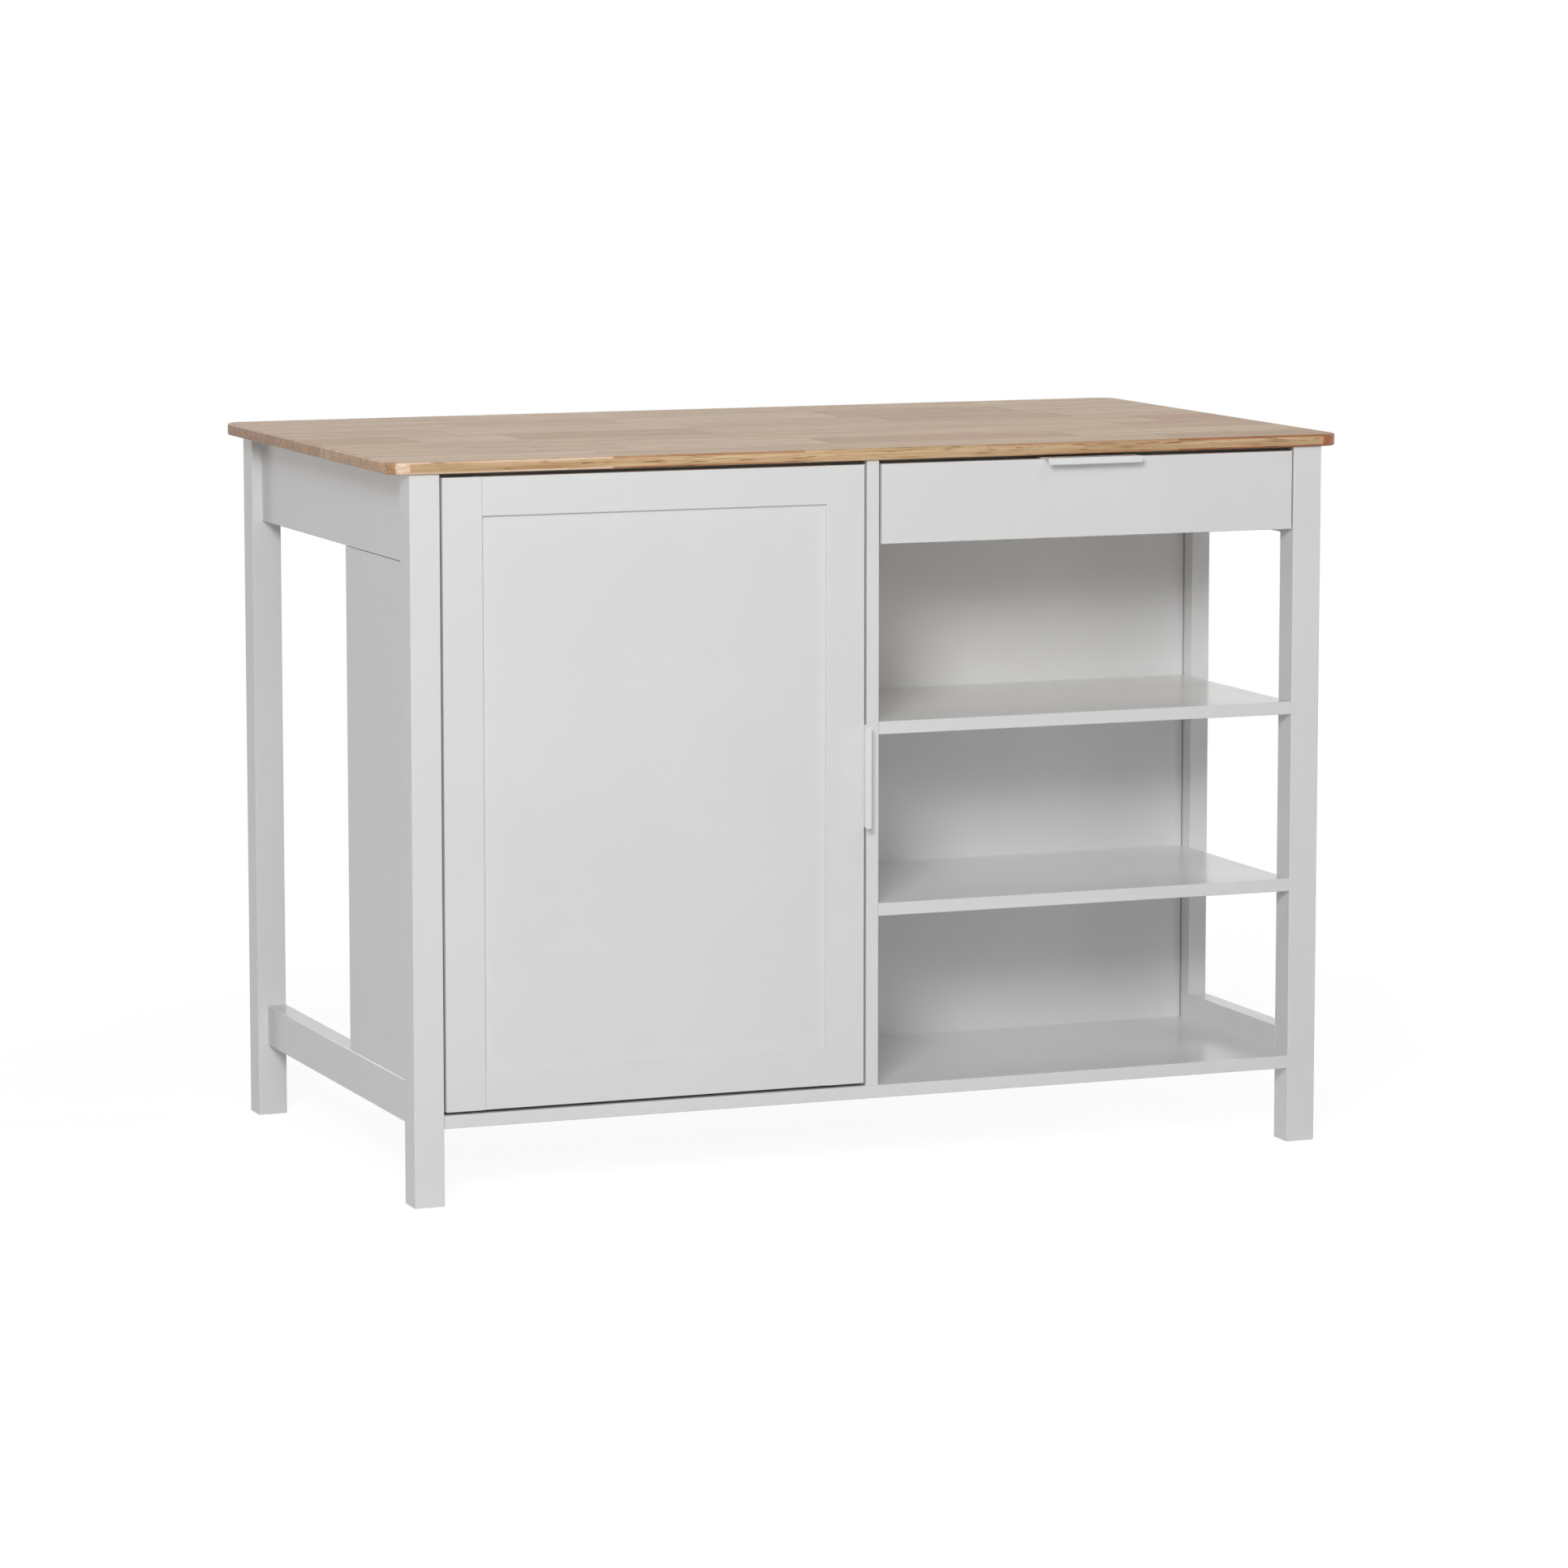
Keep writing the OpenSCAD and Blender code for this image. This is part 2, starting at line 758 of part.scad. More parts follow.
module door_handle() {
    color("whitesmoke") place_door_pull() difference() {
        pull();
        place_pull_screws() screw_bore(pull_screw);
    }
}

module door_handle_screws() {
    color("silver") place_door_pull() place_pull_screws() screw(pull_screw);
}

// ---------- Hinges and catch ----------

module hinge_cups() {
    color("silver") place_hinges() difference() {
        translate([cup_x, front_t, 0]) {
            along("-y") cylinder(h = cup_h, d = cup_d);
            along("y") linear_extrude(wing_t) {
                circle(d = cup_d + 2 * cup_flange);
                translate([-wing_w / 2, -wing_z]) square([wing_w, 2 * wing_z]);
                for (s = [-1, 1]) translate([0, s * wing_z]) circle(d = wing_w);
            }
        }
        translate([cup_x, front_t - cup_h + cup_wall, 0]) along("y")
            cylinder(h = cup_h + wing_t, d = cup_d - 3 * cup_wall);
        translate([pivot_x, pivot_y, 0]) cylinder(h = cup_d, d = hinge_pin_d + 2 * pin_gap, center = true);
        for (s = [-1, 1]) translate([cup_x, front_t + wing_t, s * wing_z]) along("-y")
            screw_bore(small_screw);
    }
}

module hinge_cup_screws() {
    color("silver") place_cup_screws() screw(small_screw);
}

// A pin's ends sit in the cup's wall
module hinge_pins() {
    half_chord = sqrt(pow(cup_d / 2 - cup_wall * 0.7, 2) - pow(cup_x - pivot_x, 2));
    color("silver") place_hinges() translate([pivot_x, pivot_y, 0])
        cylinder(h = 2 * half_chord - end_gap, d = hinge_pin_d, center = true);
}

module clamp_bores() {
    place_hinges() translate([0, clamp_y, 0]) along("x")
        cylinder(h = arm_x + arm_t + end_gap, d = clamp_d + 2 * bore_gap);
}

// The eye round the pin, the reach inward, the leg back past the door, and the arm along the side
module hinge_arms() {
    color("silver") difference() {
        place_hinges() linear_extrude(arm_h, center = true) difference() {
            union() {
                translate([pivot_x, pivot_y]) circle(d = hinge_pin_d + 2 * eye_wall);
                translate([pivot_x, pivot_y - arm_t / 2]) square([hook_x - pivot_x, arm_t]);
                translate([hook_x - arm_t / 2, pivot_y - arm_t / 2])
                    square([arm_t, hook_y - pivot_y + arm_t]);
                translate([arm_x, hook_y - arm_t / 2]) square([hook_x - arm_x, arm_t]);
                translate([arm_x, hook_y - arm_t / 2])
                    square([arm_t, plate_y + plate_l - hook_y + arm_t / 2]);
            }
            translate([pivot_x, pivot_y]) circle(d = hinge_pin_d + 2 * pin_gap);
        }
        clamp_bores();
    }
}

module hinge_plates() {
    color("silver") difference() {
        place_hinges() translate([-side_gap, plate_y, 0]) {
            translate([0, 0, -arm_h * 1.5]) cube([plate_t, plate_l, arm_h * 3]);
            translate([0, 0, -arm_h / 2]) cube([arm_x + side_gap, plate_l, arm_h]);
        }
        place_plate_screws() screw_bore(small_screw);
        clamp_bores();
    }
}

// Two wood screws for each plate, and the machine screw that clamps the arm to it
module hinge_plate_screws() {
    color("silver") {
        place_plate_screws() screw(small_screw);
        place_hinges() translate([arm_x + arm_t, clamp_y, 0]) along("-x") screw(clamp_screw);
    }
}

// The catch under the front top rail, and its strike plate on the door
catch_x = door_r - catch_edge - catch_w;

module catch_body() {
    color("whitesmoke") bar_x([catch_x, fronts_back + strike_t + moving_gap, top_rail_z - catch_h],
                              [catch_x + catch_w, top_rail_y + catch_d, top_rail_z], board_r);
}

module catch_strike() {
    color("silver") bar_y([catch_x + strike_inset, fronts_back, top_rail_z - catch_h],
                          [catch_x + catch_w - strike_inset, fronts_back + strike_t, top_rail_z], strike_r);
}

// ---------- Drawer ----------

module drawer_front() {
    color("gainsboro") difference() {
        bar_x([drawer_fl, front_y, drawer_z], [drawer_fr, fronts_back, front_top], board_r);
        place_front_screws() screw_bore(front_screw);
        place_drawer_pull() place_pull_screws() screw_bore(pull_screw);
    }
}

module drawer_groove() {
    block([box_l + drawer_side_t - bottom_groove_d, fronts_back + drawer_side_t - bottom_groove_d,
           bottom_groove_z - groove_gap],
          [box_r - drawer_side_t + bottom_groove_d, box_rear + eps,
           bottom_groove_z + drawer_bottom_t + groove_gap]);
}

module drawer_side(x0) {
    color("wheat") difference() {
        bar_y([x0, fronts_back, box_z], [x0 + drawer_side_t, box_rear, box_top], board_r);
        drawer_groove();
        place_runner_screws(runner_t - sheet_t, "x") screw_bore(runner_screw);
    }
}

module drawer_side_left() { drawer_side(box_l); }
module drawer_side_right() { drawer_side(box_r - drawer_side_t); }

module drawer_back() {
    color("wheat")
        bar_x([box_l + drawer_side_t, box_rear - drawer_side_t, bottom_groove_z + drawer_bottom_t],
              [box_r - drawer_side_t, box_rear, box_top - box_drop], board_r);
}

module drawer_inner_front() {
    color("wheat") difference() {
        bar_x([box_l + drawer_side_t, fronts_back, box_z],
              [box_r - drawer_side_t, fronts_back + drawer_side_t, box_top - box_drop], board_r);
        drawer_groove();
        place_front_screws() screw_bore(front_screw);
    }
}

module drawer_bottom() {
    inset = bottom_groove_d - tongue_gap;
    color("wheat")
        block([box_l + drawer_side_t - inset, fronts_back + drawer_side_t - inset, bottom_groove_z],
              [box_r - drawer_side_t + inset, box_rear, bottom_groove_z + drawer_bottom_t]);
}

module drawer_handle() {
    color("whitesmoke") place_drawer_pull() difference() {
        pull();
        place_pull_screws() screw_bore(pull_screw);
    }
}

module drawer_handle_screws() {
    color("silver") place_drawer_pull() place_pull_screws() screw(pull_screw);
}

module drawer_front_screws() {
    color("silver") place_front_screws() screw(front_screw);
}

// ---------- Runners ----------

// A channel whose web starts at x0 and whose flanges reach in the direction of its sign
module channel(x0, reach, h) {
    len = runner_rear - runner_front;
    translate([0, runner_rear, 0]) rotate([90, 0, 0]) linear_extrude(len) {
        translate([reach > 0 ? x0 : x0 - sheet_t, -h / 2]) square([sheet_t, h]);
        for (s = [-1, 1])
            translate([reach > 0 ? x0 : x0 + reach, s > 0 ? h / 2 - sheet_t : -h / 2])
                square([abs(reach), sheet_t]);
    }
}

module runner_outer() {
    color("silver") difference() {
        channel(0, outer_reach, runner_h);
        for (y = runner_screws) translate([sheet_t, y, 0]) along("-x") screw_bore(small_screw);
    }
}

module runner_middle() {
    color("silver") channel(mid_from, mid_reach, mid_h);
}

module runner_inner() {
    color("silver") difference() {
        channel(runner_t, -inner_reach, inner_h);
        for (y = runner_screws) translate([runner_t - sheet_t, y, 0]) along("x")
            screw_bore(small_screw);
    }
}

module runner_outer_left() { place_left_runner() runner_outer(); }
module runner_outer_right() { place_right_runner() runner_outer(); }
module runner_middle_left() { place_left_runner() runner_middle(); }
module runner_middle_right() { place_right_runner() runner_middle(); }
module runner_inner_left() { place_left_runner() runner_inner(); }
module runner_inner_right() { place_right_runner() runner_inner(); }

module runner_cabinet_screws() {
    color("silver") place_runner_screws(sheet_t, "-x") screw(small_screw);
}

module runner_drawer_screws() {
    color("silver") place_runner_screws(runner_t - sheet_t, "x") screw(runner_screw);
}

worktop();
leg_front_left();
leg_front_right();
leg_back_left();
leg_back_right();
apron_left();
apron_right();
apron_back();
stretcher_left();
stretcher_right();
front_top_rail();
frame_dowels();
bottom_shelf();
side_panel_left();
divider_panel();
back_panel();
rear_post_right();
corner_batten();
shelf_upper();
shelf_lower();
cupboard_shelf();
shelf_pins();
door_stile_hinge();
door_stile_handle();
door_rail_top();
door_rail_bottom();
door_panel();
door_handle();
door_handle_screws();
hinge_cups();
hinge_cup_screws();
hinge_pins();
hinge_arms();
hinge_plates();
hinge_plate_screws();
catch_body();
catch_strike();
drawer_front();
drawer_side_left();
drawer_side_right();
drawer_back();
drawer_inner_front();
drawer_bottom();
drawer_handle();
drawer_handle_screws();
drawer_front_screws();
runner_outer_left();
runner_outer_right();
runner_middle_left();
runner_middle_right();
runner_inner_left();
runner_inner_right();
runner_cabinet_screws();
runner_drawer_screws();
worktop_brackets();
worktop_screws();
back_panel_screws();
leg_glides();
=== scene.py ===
"""Looks of the kitchen island unit: wooden worktop, painted frame, cupboard, drawer and fittings.

Everything is in metres in the frame's own axes: +Z up, -Y the front with the door and the drawer.
"""
import json
import math
import random

import bmesh
import bpy
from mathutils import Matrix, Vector


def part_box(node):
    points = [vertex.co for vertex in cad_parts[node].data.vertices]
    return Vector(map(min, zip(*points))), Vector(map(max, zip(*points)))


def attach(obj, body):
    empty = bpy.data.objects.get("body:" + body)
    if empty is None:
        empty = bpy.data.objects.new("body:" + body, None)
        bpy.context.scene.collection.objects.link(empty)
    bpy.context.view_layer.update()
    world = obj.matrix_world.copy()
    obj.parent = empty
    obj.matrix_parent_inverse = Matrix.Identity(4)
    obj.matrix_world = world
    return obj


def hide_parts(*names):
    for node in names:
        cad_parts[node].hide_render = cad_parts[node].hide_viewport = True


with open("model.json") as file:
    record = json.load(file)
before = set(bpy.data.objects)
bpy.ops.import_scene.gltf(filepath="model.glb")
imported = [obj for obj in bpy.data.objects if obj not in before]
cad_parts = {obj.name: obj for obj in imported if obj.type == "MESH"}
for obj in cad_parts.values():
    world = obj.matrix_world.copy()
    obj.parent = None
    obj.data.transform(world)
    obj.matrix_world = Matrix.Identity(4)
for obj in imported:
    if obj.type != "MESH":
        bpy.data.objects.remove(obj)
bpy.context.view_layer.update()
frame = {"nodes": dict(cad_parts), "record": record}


# ---------- Camera, stage and light ----------

def make_camera():
    """The photograph's view: a long lens from the front left, a little above the worktop."""
    photo_px = 1932
    focal_px = 7543.1
    place = (-2.8307, -7.2258, 1.4846)
    yaw = 0.3748
    pitch = -0.1333
    data = bpy.data.cameras.new("camera")
    data.sensor_width = 36.0
    data.lens = focal_px * data.sensor_width / photo_px
    data.clip_end = 100
    camera = bpy.data.objects.new("camera", data)
    camera.location = place
    camera.rotation_euler = (math.pi / 2 + pitch, 0, -yaw)
    bpy.context.scene.collection.objects.link(camera)
    bpy.context.scene.camera = camera


def add_area_light(name, azimuth, elevation, size, power):
    """A square softbox aimed at the unit's middle. Azimuth 0 is in front, and grows to the right."""
    distance = 6.0
    middle = Vector((0, 0, 0.5))
    azimuth = math.radians(azimuth)
    elevation = math.radians(elevation)
    away = Vector((math.cos(elevation) * math.sin(azimuth), -math.cos(elevation) * math.cos(azimuth),
                   math.sin(elevation)))
    data = bpy.data.lights.new(name, "AREA")
    data.size = size
    data.energy = power
    light = bpy.data.objects.new(name, data)
    light.location = middle + away * distance
    light.rotation_euler = (-away).to_track_quat("-Z", "Y").to_euler()
    bpy.context.scene.collection.objects.link(light)


def make_lights():
    """The key light comes from the front left. The others fill the right, the inside and the back."""
    add_area_light("key", azimuth=-30, elevation=23, size=1.4, power=149)
    add_area_light("right", azimuth=85, elevation=15, size=2.4, power=64)
    add_area_light("front", azimuth=-12, elevation=20, size=1.4, power=33)
    add_area_light("high", azimuth=20, elevation=45, size=2.4, power=30)
    add_area_light("back_left", azimuth=-160, elevation=18, size=3.0, power=60)
    add_area_light("back_right", azimuth=160, elevation=25, size=3.0, power=14)


def make_world():
    """Soft even light, and plain white wherever the camera or a reflection looks."""
    ambient = 0.095
    seen_strength = 1.0
    world = bpy.data.worlds.new("studio")
    bpy.context.scene.world = world
    world.use_nodes = True
    tree = world.node_tree
    background = tree.nodes["Background"]
    background.inputs["Color"].default_value = (1, 1, 1, 1)
    seen = seen_directly(tree)
    strength = tree.nodes.new("ShaderNodeMapRange")
    strength.inputs["To Min"].default_value = ambient
    strength.inputs["To Max"].default_value = seen_strength
    tree.links.new(seen, strength.inputs["Value"])
    tree.links.new(strength.outputs["Result"], background.inputs["Strength"])


def seen_directly(tree):
    """1 where the camera, a mirror or a clear pane sees the surface, 0 for light on its way to others."""
    path = tree.nodes.new("ShaderNodeLightPath")
    total = path.outputs["Is Camera Ray"]
    for ray in ("Is Glossy Ray", "Is Transmission Ray"):
        add = tree.nodes.new("ShaderNodeMath")
        add.operation = "MAXIMUM"
        tree.links.new(total, add.inputs[0])
        tree.links.new(path.outputs[ray], add.inputs[1])
        total = add.outputs[0]
    return total


def make_floor():
    """White ground. Near the unit, part of its white comes from the lights, so a soft shadow shows.

    lit_share of the white near the unit is lit, where the lights give lit_value. From lit_within
    outwards the share falls to none at lit_out_to.
    """
    half = 12
    lit_share = 0.3
    lit_value = 0.38
    lit_within = 1.0
    lit_out_to = 3.2
    mesh = bpy.data.meshes.new("floor")
    corners = [(-half, -half, 0), (half, -half, 0), (half, half, 0), (-half, half, 0)]
    mesh.from_pydata(corners, [], [(0, 1, 2, 3)])
    floor = bpy.data.objects.new("floor", mesh)
    bpy.context.scene.collection.objects.link(floor)
    shader = Shader("floor", roughness=0.9, specular=0.0)
    shader.set("Base Color", colour(0.82, 0.82, 0.82))
    radius = shader.vector("LENGTH", shader.place, output="Value")
    own = shader.remap(radius, lit_within, lit_out_to, 1 - lit_share, 1.0)
    own_near = (1 - lit_share * lit_value) / (1 - lit_share)
    strength = shader.remap(radius, lit_within, lit_out_to, own_near, 1.0)
    white = shader.node("ShaderNodeEmission", Strength=strength)
    share = shader.math("MULTIPLY", own, seen_directly(shader.tree))
    mix = shader.node("ShaderNodeMixShader")
    shader.put(mix.inputs["Fac"], share)
    shader.tree.links.new(shader.surface.outputs[0], mix.inputs[1])
    shader.tree.links.new(white.outputs[0], mix.inputs[2])
    shader.tree.links.new(mix.outputs[0], shader.tree.nodes["Material Output"].inputs["Surface"])
    mesh.materials.append(shader.material)


# ---------- Materials ----------

class Shader:
    """A material under construction. Its methods add nodes and return their outputs."""

    def __init__(self, name, roughness=0.5, metallic=0.0, specular=0.5):
        self.material = bpy.data.materials.new(name)
        self.material.use_nodes = True
        self.tree = self.material.node_tree
        self.surface = self.tree.nodes["Principled BSDF"]
        self.surface.inputs["Roughness"].default_value = roughness
        self.surface.inputs["Metallic"].default_value = metallic
        self.surface.inputs["Specular IOR Level"].default_value = specular
        self.place = self.tree.nodes.new("ShaderNodeTexCoord").outputs["Object"]

    def node(self, kind, settings=None, **inputs):
        made = self.tree.nodes.new(kind)
        for key, value in (settings or {}).items():
            setattr(made, key, value)
        for key, value in inputs.items():
            self.put(made.inputs[key.replace("_", " ")], value)
        return made

    def put(self, socket, value):
        if isinstance(value, bpy.types.NodeSocket):
            self.tree.links.new(value, socket)
        else:
            socket.default_value = value

    def set(self, name, value):
        self.put(self.surface.inputs[name], value)

    def math(self, operation, *values):
        made = self.node("ShaderNodeMath", {"operation": operation})
        for socket, value in zip(made.inputs, values):
            self.put(socket, value)
        return made.outputs[0]

    def vector(self, operation, first, second=None, output="Vector", **inputs):
        made = self.node("ShaderNodeVectorMath", {"operation": operation}, **inputs)
        self.put(made.inputs[0], first)
        if second is not None:
            self.put(made.inputs[1], second)
        return made.outputs[output]

    def stretched(self, scale, source=None):
        """The place on the object, in metres, multiplied by scale."""
        return self.node("ShaderNodeMapping", Vector=source or self.place, Scale=scale).outputs[0]

    def noise(self, place, scale=1.0, detail=3.0, roughness=0.5, distortion=0.0):
        return self.node("ShaderNodeTexNoise", Vector=place, Scale=scale, Detail=detail,
                         Roughness=roughness, Distortion=distortion).outputs["Fac"]

    def remap(self, value, low, high, to_low, to_high):
        return self.node("ShaderNodeMapRange", Value=value, From_Min=low, From_Max=high,
                         To_Min=to_low, To_Max=to_high).outputs["Result"]

    def mix(self, share, first, second, blend="MIX"):
        made = self.node("ShaderNodeMix", {"data_type": "RGBA", "blend_type": blend})
        colours = [s for s in made.inputs if s.type == "RGBA"]
        self.put(made.inputs[0], share)
        self.put(colours[0], first)
        self.put(colours[1], second)
        return [s for s in made.outputs if s.type == "RGBA"][0]

    def bump(self, height, depth, normal=None):
        """A bump whose height of 1 is depth metres."""
        made = self.node("ShaderNodeBump", Height=height, Strength=1.0, Distance=depth)
        if normal is not None:
            self.put(made.inputs["Normal"], normal)
        return made.outputs[0]


def colour(red, green, blue):
    return (red, green, blue, 1.0)


def painted_material(name, grain):
    """Satin white paint. Wood fibres show faintly along the axis grain, 0 to 2, or not if it is None."""
    across_fibres = 420
    along_fibres = 6
    skin_depth = 0.000004
    fibre_depth = 0.00002
    shader = Shader(name)
    cloud = shader.noise(shader.place, scale=6, detail=2)
    fine = shader.noise(shader.place, scale=700, detail=2)
    shader.set("Base Color", shader.mix(shader.remap(cloud, 0.3, 0.7, 0, 1),
                                        colour(0.795, 0.795, 0.795), colour(0.815, 0.815, 0.815)))
    shader.set("Roughness", shader.remap(fine, 0.3, 0.7, 0.20, 0.25))
    normal = shader.bump(fine, skin_depth)
    if grain is not None:
        scale = [across_fibres] * 3
        scale[grain] = along_fibres
        fibres = shader.noise(shader.stretched(scale), detail=3, roughness=0.6)
        normal = shader.bump(fibres, fibre_depth, normal)
    shader.set("Normal", normal)
    return shader.material


def worktop_material():
    """Oiled solid wood. Its growth rings are cut from the solid, so sides and ends match the top.

    stave is the stave's random place in the tree, and stave_hue its colour before the figure.
    """
    rings_per_metre = 210
    rings_wander = 8.0
    metres_apart = 7.0
    fibre_depth = 0.00005
    pore_depth = 0.00004
    shader = Shader("worktop_wood", specular=0.32)
    stave = shader.node("ShaderNodeAttribute", {"attribute_name": "stave"}).outputs["Vector"]
    hue = shader.node("ShaderNodeAttribute", {"attribute_name": "stave_hue"}).outputs["Color"]
    local = shader.vector("ADD", shader.place, shader.vector("SCALE", stave, Scale=metres_apart))

    def pattern(along, across, detail, roughness=0.5):
        """Noise with along cells per metre of the stave's length and across cells over its section."""
        return shader.noise(shader.stretched((along, across, across), source=local), detail=detail,
                            roughness=roughness)

    def stain(tone, noise, low, high, most, tint):
        """Multiplies tone by tint, by a share that grows from none at low to most at high."""
        return shader.mix(shader.remap(noise, low, high, 0, most), tone, colour(*tint), "MULTIPLY")

    # Rings: distance from a pith that lies below the stave, bent by a slow wander along the stave.
    pith = shader.node("ShaderNodeSeparateXYZ", Vector=stave)
    here = shader.node("ShaderNodeSeparateXYZ", Vector=shader.place)
    across = shader.math("SUBTRACT", here.outputs["Y"],
                         shader.remap(pith.outputs["Y"], 0, 1, -0.5, 0.5))
    below = shader.math("SUBTRACT", here.outputs["Z"],
                        shader.remap(pith.outputs["Z"], 0, 1, 0.70, 0.86))
    radius = shader.math("SQRT", shader.math("ADD", shader.math("POWER", across, 2.0),
                                             shader.math("POWER", below, 2.0)))
    wander = pattern(1.8, 7, detail=2)
    rings = shader.math("ADD", shader.math("MULTIPLY", radius, rings_per_metre),
                        shader.math("MULTIPLY", wander, rings_wander))
    ring_age = shader.math("FRACT", rings)

    streaks = pattern(3.5, 120, detail=4, roughness=0.65)
    fibres = pattern(9, 620, detail=3, roughness=0.6)
    figure = pattern(2.2, 38, detail=3, roughness=0.55)
    pores = pattern(32, 640, detail=1, roughness=0.4)
    tone = stain(hue, ring_age, low=0.3, high=1.0, most=0.22, tint=(0.62, 0.48, 0.38))
    tone = stain(tone, streaks, low=0.42, high=0.64, most=0.80, tint=(0.70, 0.59, 0.48))
    tone = stain(tone, fibres, low=0.42, high=0.66, most=0.55, tint=(0.70, 0.58, 0.46))
    tone = stain(tone, figure, low=0.40, high=0.62, most=0.90, tint=(1.22, 1.25, 1.28))
    tone = stain(tone, pores, low=0.60, high=0.70, most=0.80, tint=(0.42, 0.28, 0.20))
    shader.set("Base Color", tone)
    shader.set("Roughness", shader.remap(fibres, 0.3, 0.7, 0.38, 0.50))
    normal = shader.bump(fibres, fibre_depth)
    shader.set("Normal", shader.bump(shader.remap(pores, 0.60, 0.70, 1, 0), pore_depth, normal))
    return shader.material


def drawer_wood_material():
    """Clear-lacquered birch, its grain level and longest from front to back."""
    shader = Shader("drawer_birch", specular=0.4)
    grain = shader.noise(shader.stretched((40, 5, 300)), detail=4, roughness=0.6)
    figure = shader.noise(shader.stretched((9, 1.5, 30)), detail=2, distortion=0.6)
    tone = shader.mix(shader.remap(figure, 0.3, 0.7, 0, 1),
                      colour(0.75, 0.68, 0.57), colour(0.69, 0.60, 0.48))
    tone = shader.mix(shader.remap(grain, 0.5, 0.8, 0, 0.4), tone, colour(0.52, 0.39, 0.25))
    shader.set("Base Color", tone)
    shader.set("Roughness", shader.remap(grain, 0.3, 0.7, 0.36, 0.46))
    shader.set("Normal", shader.bump(grain, 0.00004))
    return shader.material


def steel_material():
    """Zinc plate: faint drawn lines and a mottled shine."""
    shader = Shader("zinc_plate", metallic=1.0)
    lines = shader.noise(shader.stretched((900, 30, 900)), detail=3)
    cloud = shader.noise(shader.place, scale=120, detail=3)
    tone = shader.mix(shader.remap(cloud, 0.35, 0.65, 0, 1),
                      colour(0.60, 0.61, 0.63), colour(0.70, 0.70, 0.69))
    shader.set("Base Color", tone)
    shader.set("Roughness", shader.remap(lines, 0.3, 0.7, 0.26, 0.40))
    shader.set("Normal", shader.bump(lines, 0.00001))
    return shader.material


def pull_material():
    """Satin white powder coat on the pulls."""
    shader = Shader("pull_coat")
    grit = shader.noise(shader.place, scale=1500, detail=2)
    cloud = shader.noise(shader.place, scale=25, detail=2)
    shader.set("Base Color", shader.mix(shader.remap(cloud, 0.3, 0.7, 0, 1),
                                        colour(0.86, 0.86, 0.86), colour(0.88, 0.88, 0.88)))
    shader.set("Roughness", shader.remap(grit, 0.3, 0.7, 0.25, 0.36))
    shader.set("Normal", shader.bump(grit, 0.000015))
    return shader.material


def moulded_material(name, tone, roughness):
    """Moulded plastic with a fine spark-eroded skin."""
    shader = Shader(name)
    skin = shader.noise(shader.place, scale=2200, detail=2)
    cloud = shader.noise(shader.place, scale=60, detail=2)
    darker = [c * 0.93 for c in tone]
    shader.set("Base Color", shader.mix(cloud, colour(*tone), colour(*darker)))
    shader.set("Roughness", shader.remap(skin, 0.3, 0.7, roughness - 0.05, roughness + 0.08))
    shader.set("Normal", shader.bump(skin, 0.00002))
    return shader.material


def dress(node, material):
    """Gives a CAD node one material."""
    slots = frame["nodes"][node].data.materials
    slots.clear()
    slots.append(material)


# Painted pieces cut from board, which show no fibres.
PAINTED_BOARDS = ["back_panel", "door_panel", "side_panel_left", "divider_panel", "bottom_shelf",
                  "shelf_upper", "shelf_lower", "cupboard_shelf", "drawer_front"]


def dress_cad_nodes():
    """Every CAD node gets its finish. Frame members show fibres along their length, boards none."""
    paints = {axis: painted_material("paint_" + name, axis)
              for axis, name in ((0, "along_x"), (1, "along_y"), (2, "upright"), (None, "board"))}
    finishes = {"raw_wood": drawer_wood_material(), "plated_steel": steel_material(),
                "pull_metal": pull_material()}
    for entry in frame["record"]["subparts"]:
        name = entry["node"]
        slot = entry["material_slot"]
        if slot == "paint":
            dress(name, paints[None if name in PAINTED_BOARDS else longest_axis(name)])
        elif slot in finishes:
            dress(name, finishes[slot])
    dress("leg_glides", moulded_material("glide_nylon", (0.05, 0.05, 0.05), 0.5))
    dress("catch_body", moulded_material("catch_plastic", (0.62, 0.62, 0.61), 0.4))


def longest_axis(name):
    low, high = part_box(name)
    size = high - low
    return max(range(3), key=lambda axis: size[axis])


# ---------- Worktop ----------

# Hues of the staves' long grain on the worktop's top, on its front edge, and of their end grain.
HUES = {
    "tan": (0.615, 0.415, 0.23), "pale": (0.665, 0.475, 0.29), "brown": (0.49, 0.285, 0.12),
    "rose": (0.47, 0.25, 0.10), "buff": (0.60, 0.405, 0.21),
    "peach": (0.92, 0.72, 0.56), "amber": (0.54, 0.27, 0.14), "honey": (0.70, 0.505, 0.30),
    "copper": (0.70, 0.42, 0.25), "russet": (0.465, 0.19, 0.088),
    "end_tan": (0.625, 0.40, 0.24), "end_brown": (0.61, 0.395, 0.23),
    "end_dark": (0.44, 0.235, 0.125), "end_rose": (0.51, 0.29, 0.16),
}
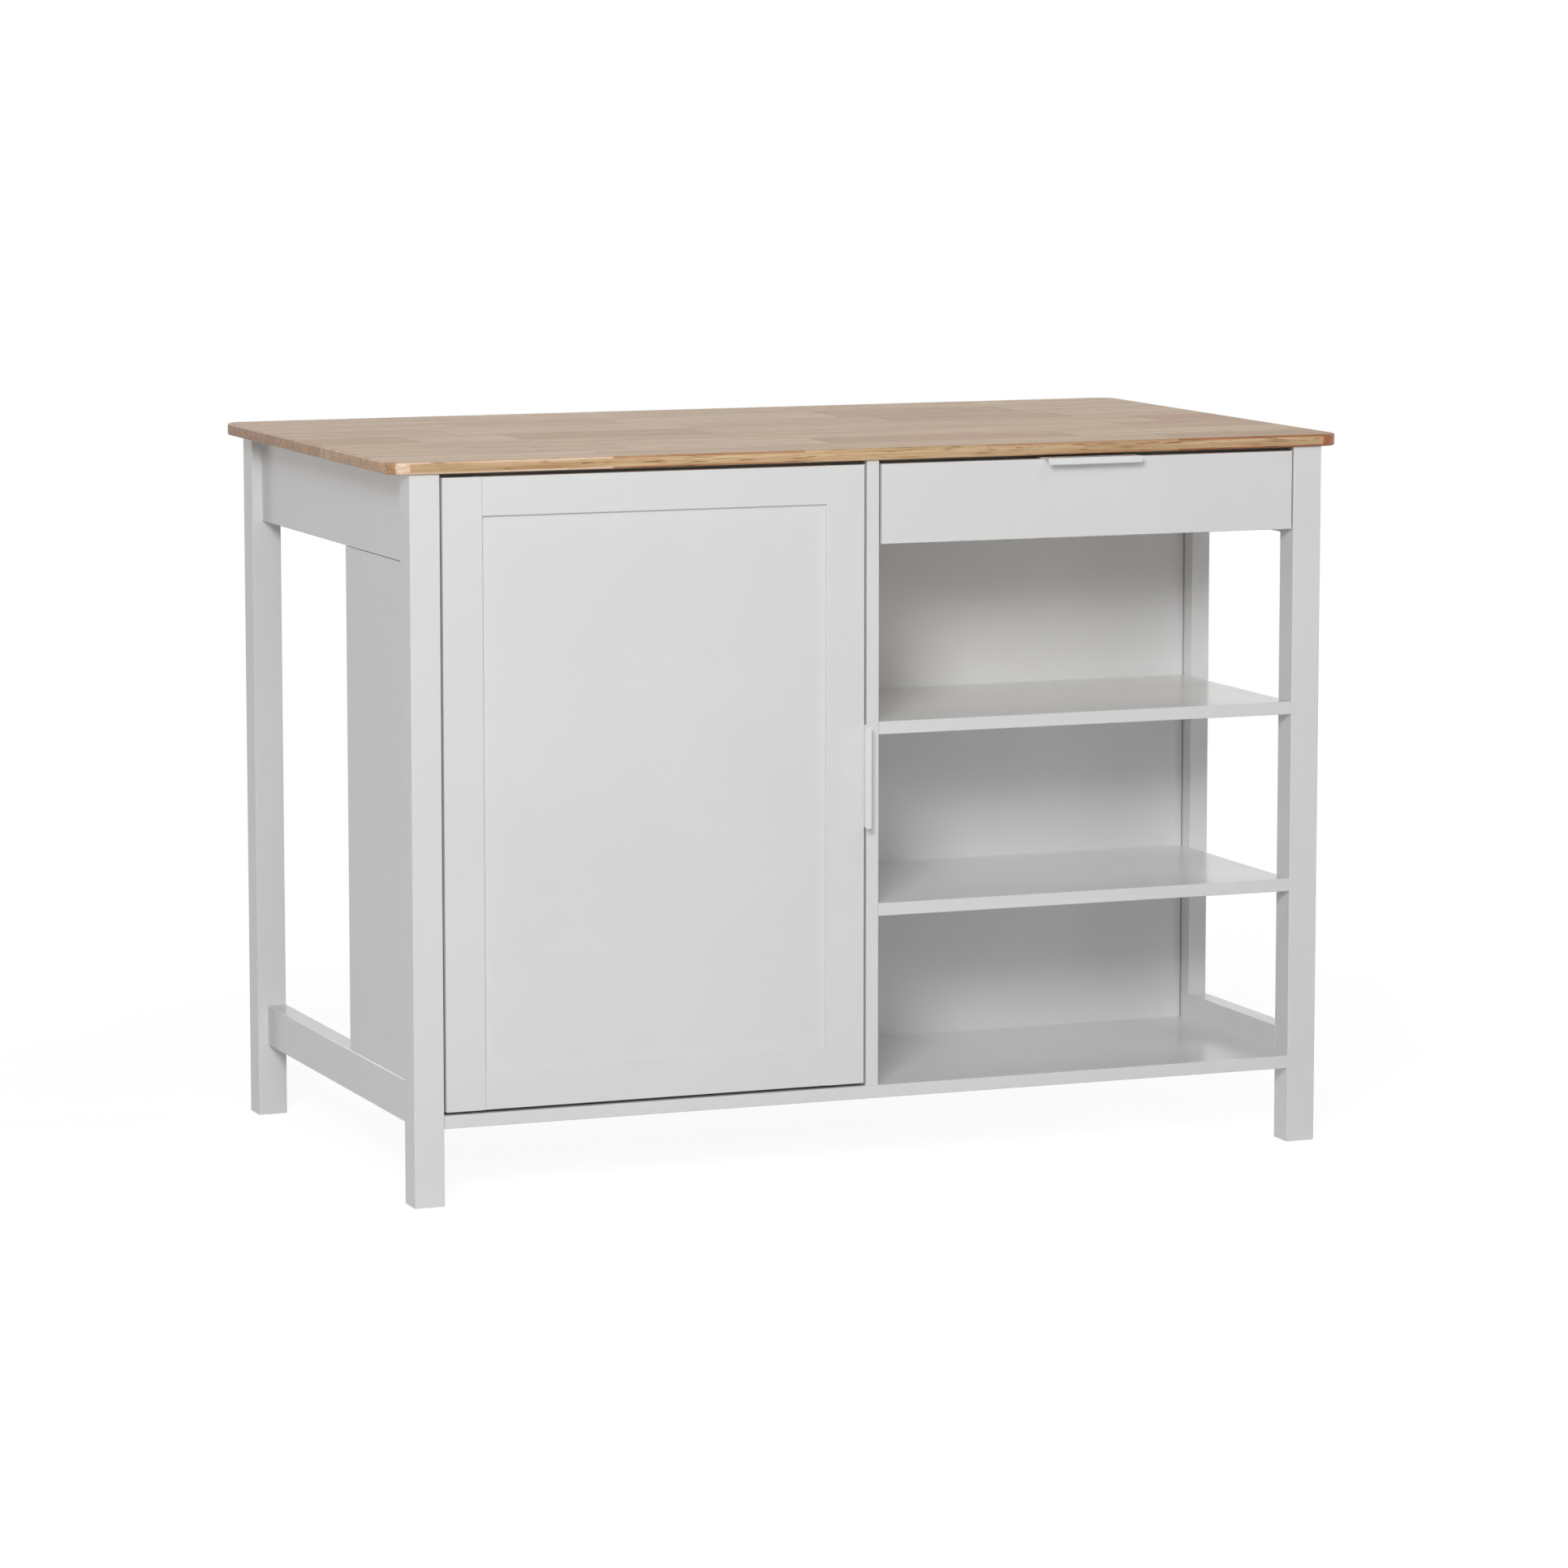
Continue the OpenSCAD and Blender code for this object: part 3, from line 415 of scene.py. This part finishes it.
# Rows from the front edge backwards: the row's width, its end-grain hue, and its staves from the
# left, each as its right end's X and its hue. The last stave runs to the worktop's end.
STAVE_ROWS = [
    (0.085, "end_tan", [(-0.345, "pale"), (-0.098, "tan"), (0.140, "buff"), (0.400, "buff"),
                        (None, "brown")]),
    (0.095, "end_brown", [(-0.280, "tan"), (-0.028, "pale"), (0.308, "rose"), (None, "tan")]),
    (0.100, "end_tan", [(-0.360, "tan"), (-0.080, "tan"), (0.430, "buff"), (None, "brown")]),
    (0.105, "end_rose", [(-0.490, "brown"), (-0.362, "pale"), (-0.105, "brown"), (0.180, "tan"),
                         (0.506, "buff"), (None, "rose")]),
    (0.105, "end_rose", [(-0.410, "tan"), (-0.105, "pale"), (0.180, "buff"), (0.437, "brown"),
                        (None, "tan")]),
    (0.105, "end_dark", [(-0.370, "tan"), (-0.150, "buff"), (0.145, "pale"), (0.410, "brown"),
                         (None, "tan")]),
    (None, "end_dark", [(-0.300, "tan"), (-0.120, "pale"), (0.135, "buff"), (0.410, "buff"),
                        (None, "tan")]),
]
# Hues of the front row's staves on the worktop's front edge, where no sheen pales them.
FRONT_EDGE_HUES = ["peach", "amber", "honey", "copper", "russet"]


def stave_rows(low, high):
    """Each row as its front and back edges' Y, end-grain hue, and its staves' right ends and hues."""
    rows = []
    front = low.y
    for width, end_hue, staves in STAVE_ROWS:
        back = high.y if width is None else front + width
        rows.append((front, back, end_hue, [(high.x if end is None else end, hue) for end, hue in staves]))
        front = back
    return rows


def cut_mesh(mesh, faces, point, normal):
    """Cuts some faces along a plane, and leaves the shape as it is."""
    geometry = {element for face in faces for element in (face, *face.edges, *face.verts)}
    bmesh.ops.bisect_plane(mesh, geom=list(geometry), plane_co=point, plane_no=normal, dist=1e-6)


def make_worktop():
    """The worktop as glued staves: the CAD slab, cut along each glue line and butt joint."""
    low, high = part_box("worktop")
    rows = stave_rows(low, high)
    mesh = bmesh.new()
    mesh.from_mesh(frame["nodes"]["worktop"].data)
    bmesh.ops.remove_doubles(mesh, verts=mesh.verts, dist=1e-6)
    for _, back, _, _ in rows[:-1]:
        cut_mesh(mesh, mesh.faces[:], (0, back, 0), (0, 1, 0))
    for front, back, _, staves in rows:
        for end, _ in staves[:-1]:
            row_faces = [f for f in mesh.faces if front < f.calc_center_median().y < back]
            cut_mesh(mesh, row_faces, (end, 0, 0), (1, 0, 0))

    data = bpy.data.meshes.new("worktop_staves")
    mesh.to_mesh(data)
    mesh.free()
    paint_staves(data, rows)
    data.shade_smooth()
    data.set_sharp_from_angle(angle=math.radians(30))
    data.materials.clear()
    data.materials.append(worktop_material())
    worktop = bpy.data.objects.new("worktop_staves", data)
    bpy.context.scene.collection.objects.link(worktop)
    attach(worktop, "cabinet")
    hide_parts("worktop")


def paint_staves(data, rows):
    """Writes each stave's hue and random place in the tree to the faces' corners.

    A face is end grain or front edge where its normal leans that way by more than facing.
    """
    facing = 0.6
    chance = random.Random(7)
    places = {(row, index): [chance.random() for _ in range(3)] + [1]
              for row, (_, _, _, staves) in enumerate(rows) for index in range(len(staves))}
    hue_layer = data.attributes.new("stave_hue", "FLOAT_COLOR", "CORNER")
    stave_layer = data.attributes.new("stave", "FLOAT_COLOR", "CORNER")
    for polygon in data.polygons:
        middle = polygon.center
        row = next(k for k, (_, back, _, _) in enumerate(rows) if middle.y < back or k == len(rows) - 1)
        _, _, end_hue, staves = rows[row]
        index = next(k for k, (end, _) in enumerate(staves) if middle.x < end or k == len(staves) - 1)
        name = staves[index][1]
        if abs(polygon.normal.x) > facing:
            name = end_hue
        elif polygon.normal.y < -facing:
            name = FRONT_EDGE_HUES[index]
        hue = HUES[name]
        for corner in polygon.loop_indices:
            hue_layer.data[corner].color = (*hue, 1)
            stave_layer.data[corner].color = places[row, index]


# ---------- The whole scene ----------

make_camera()
make_world()
make_lights()
make_floor()
dress_cad_nodes()
make_worktop()

scene = bpy.context.scene
scene.view_settings.view_transform = "Standard"
